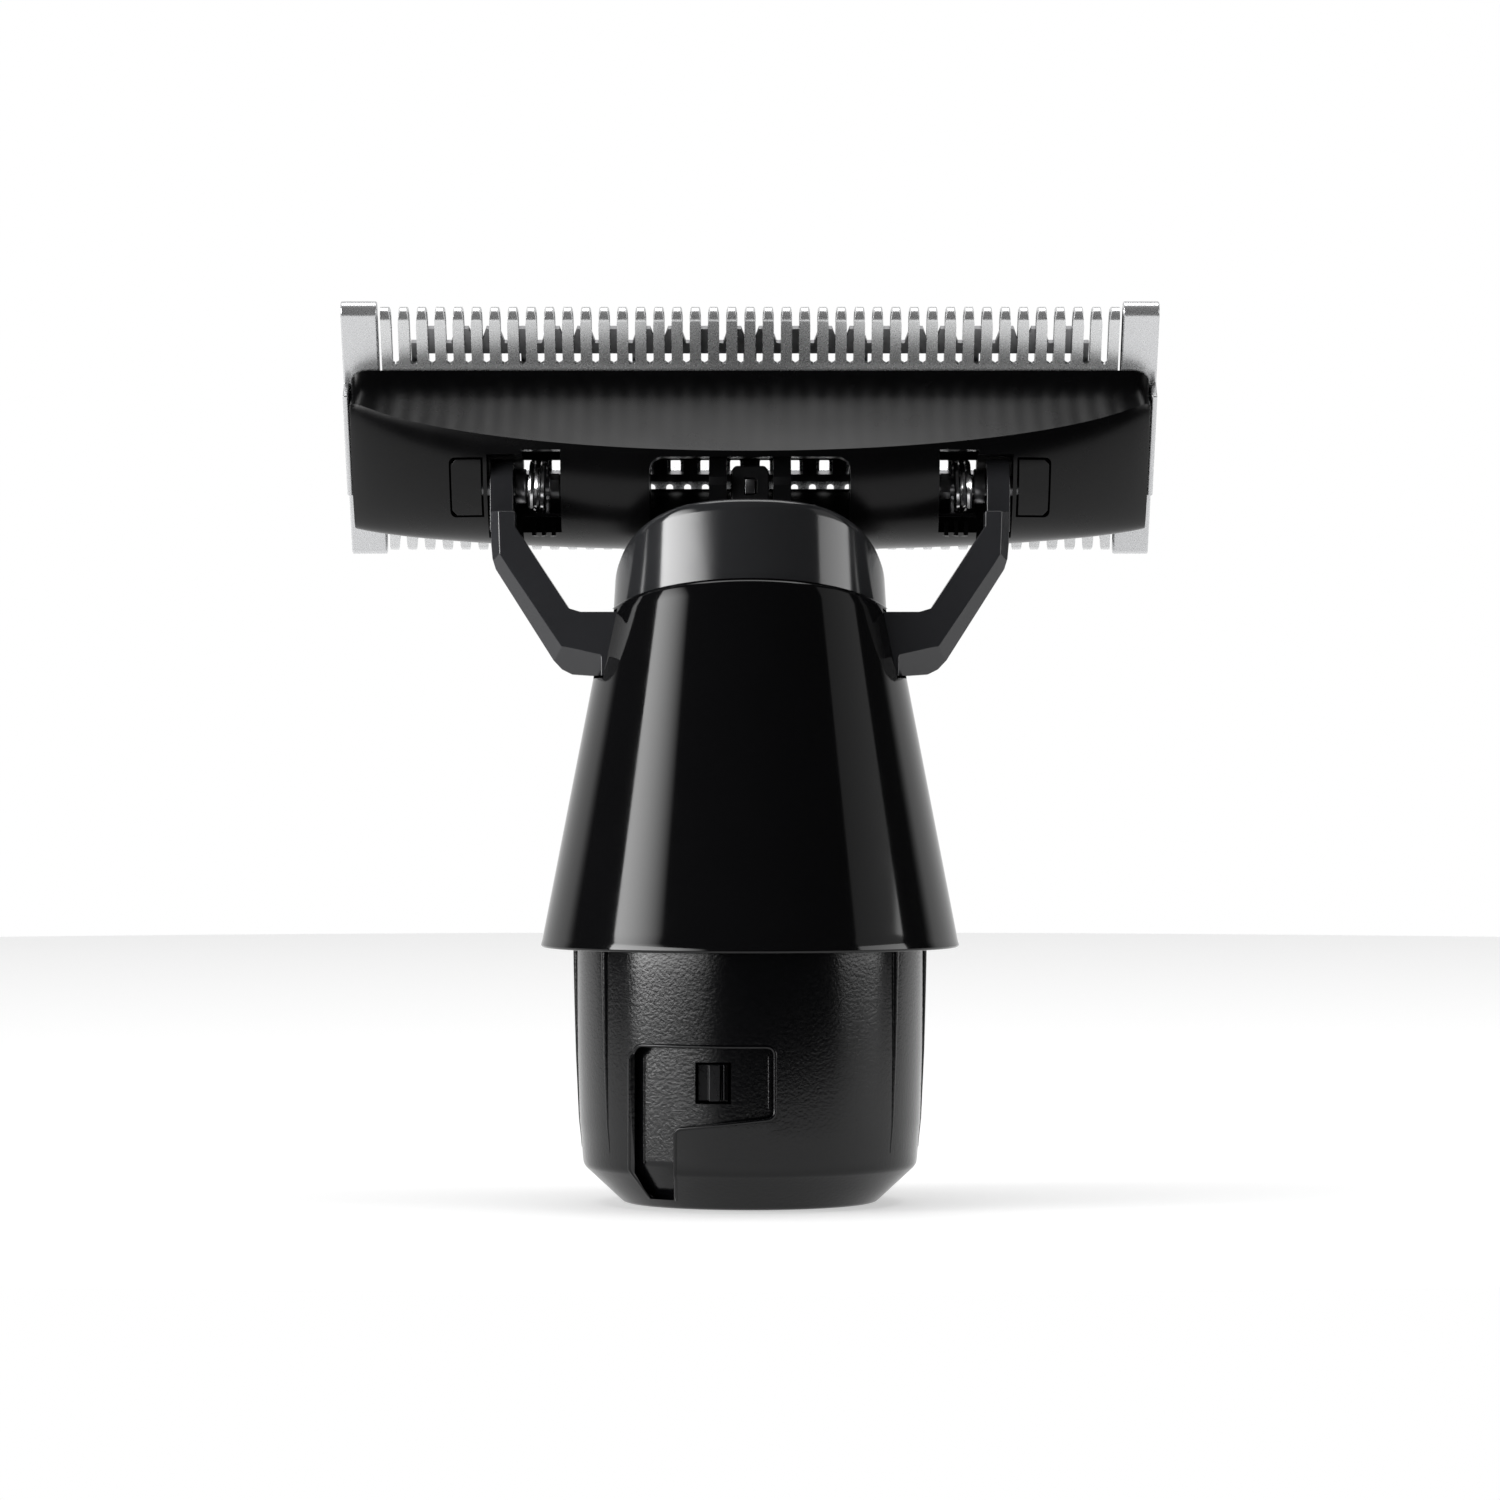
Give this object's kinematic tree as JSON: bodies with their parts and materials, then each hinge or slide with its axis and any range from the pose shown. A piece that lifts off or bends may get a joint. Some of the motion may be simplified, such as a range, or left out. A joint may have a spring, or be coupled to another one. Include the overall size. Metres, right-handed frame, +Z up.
{
  "type": "trimmer head",
  "caption": "Detachable rocking trimmer head for a body groomer: wide two-edged comb and sliding cutter on a sprung yoke over a conical neck with a bayonet collar.",
  "frame": {"origin": "centre of the coupling collar's foot", "axes": "+Z up the handle axis towards the cutting head, +Y towards the side the cutting face looks to, +X along the comb"},
  "size_m": [0.0498, 0.0254, 0.0549],
  "materials": {
    "collar_plastic": "fine-grained matte black",
    "latch_plastic": "satin black",
    "fastener_steel": "satin",
    "skirt_gloss": "piano black",
    "cap_gloss": "glossy dark grey",
    "yoke_plastic": "satin dark grey",
    "seal_rubber": "matte black",
    "pin_steel": "polished",
    "lever_plastic": "satin dark grey",
    "carrier_gloss": "piano black",
    "comb_steel": "brushed along the plate",
    "cutter_steel": "dark ground steel",
    "cutter_plastic": "satin black",
    "guard_steel": "brushed",
    "spring_steel": "bright wire"
  },
  "bodies": {
    "neck": {"coupling_collar": "collar_plastic", "neck_screw_back": "fastener_steel", "neck_screw_front": "fastener_steel", "neck_cone": "skirt_gloss", "neck_cap": "cap_gloss", "yoke_frame": "yoke_plastic", "drive_seal": "seal_rubber", "lever_pivot_pin": "pin_steel"},
    "detent": {"bayonet_detent": "latch_plastic"},
    "lever": {"drive_lever": "lever_plastic", "lever_tip_insert": "pin_steel"},
    "head": {"head_carrier": "carrier_gloss", "comb": "comb_steel", "end_guard_left": "guard_steel", "end_guard_right": "guard_steel", "side_panel_left": "latch_plastic", "side_panel_right": "latch_plastic", "pivot_pin_left": "pin_steel", "pivot_pin_right": "pin_steel", "torsion_spring_left": "spring_steel", "torsion_spring_right": "spring_steel", "cutter_spring_left": "spring_steel", "cutter_spring_right": "spring_steel"},
    "cutter": {"cutter_blade": "cutter_steel", "cutter_carrier": "cutter_plastic"}
  },
  "joints": [
    {"name": "head_pivot", "type": "hinge", "parent": "neck", "child": "head", "pos_m": [0, 0.0002, 0.0436], "axis": [1, 0, 0], "range_deg": [-15, 15], "stiffness_Nm_per_rad": 0.03, "deforming": ["torsion_spring_left", "torsion_spring_right"]},
    {"name": "lever_swing", "type": "hinge", "parent": "neck", "child": "lever", "pos_m": [0, 0.0002, 0.025], "axis": [0, 1, 0], "range_deg": [-2.6, 2.6]},
    {"name": "cutter_slide", "type": "slide", "parent": "head", "child": "cutter", "axis": [1, 0, 0], "range_m": [-0.00084, 0.00084]},
    {"name": "detent_press", "type": "slide", "parent": "neck", "child": "detent", "axis": [0, 1, 0], "range_m": [0, 0.0006], "stiffness_N_per_m": 500}
  ],
  "couplings": [
    {"joint": "lever_swing", "follows": "cutter_slide", "rad_per_m": 53.7}
  ]
}
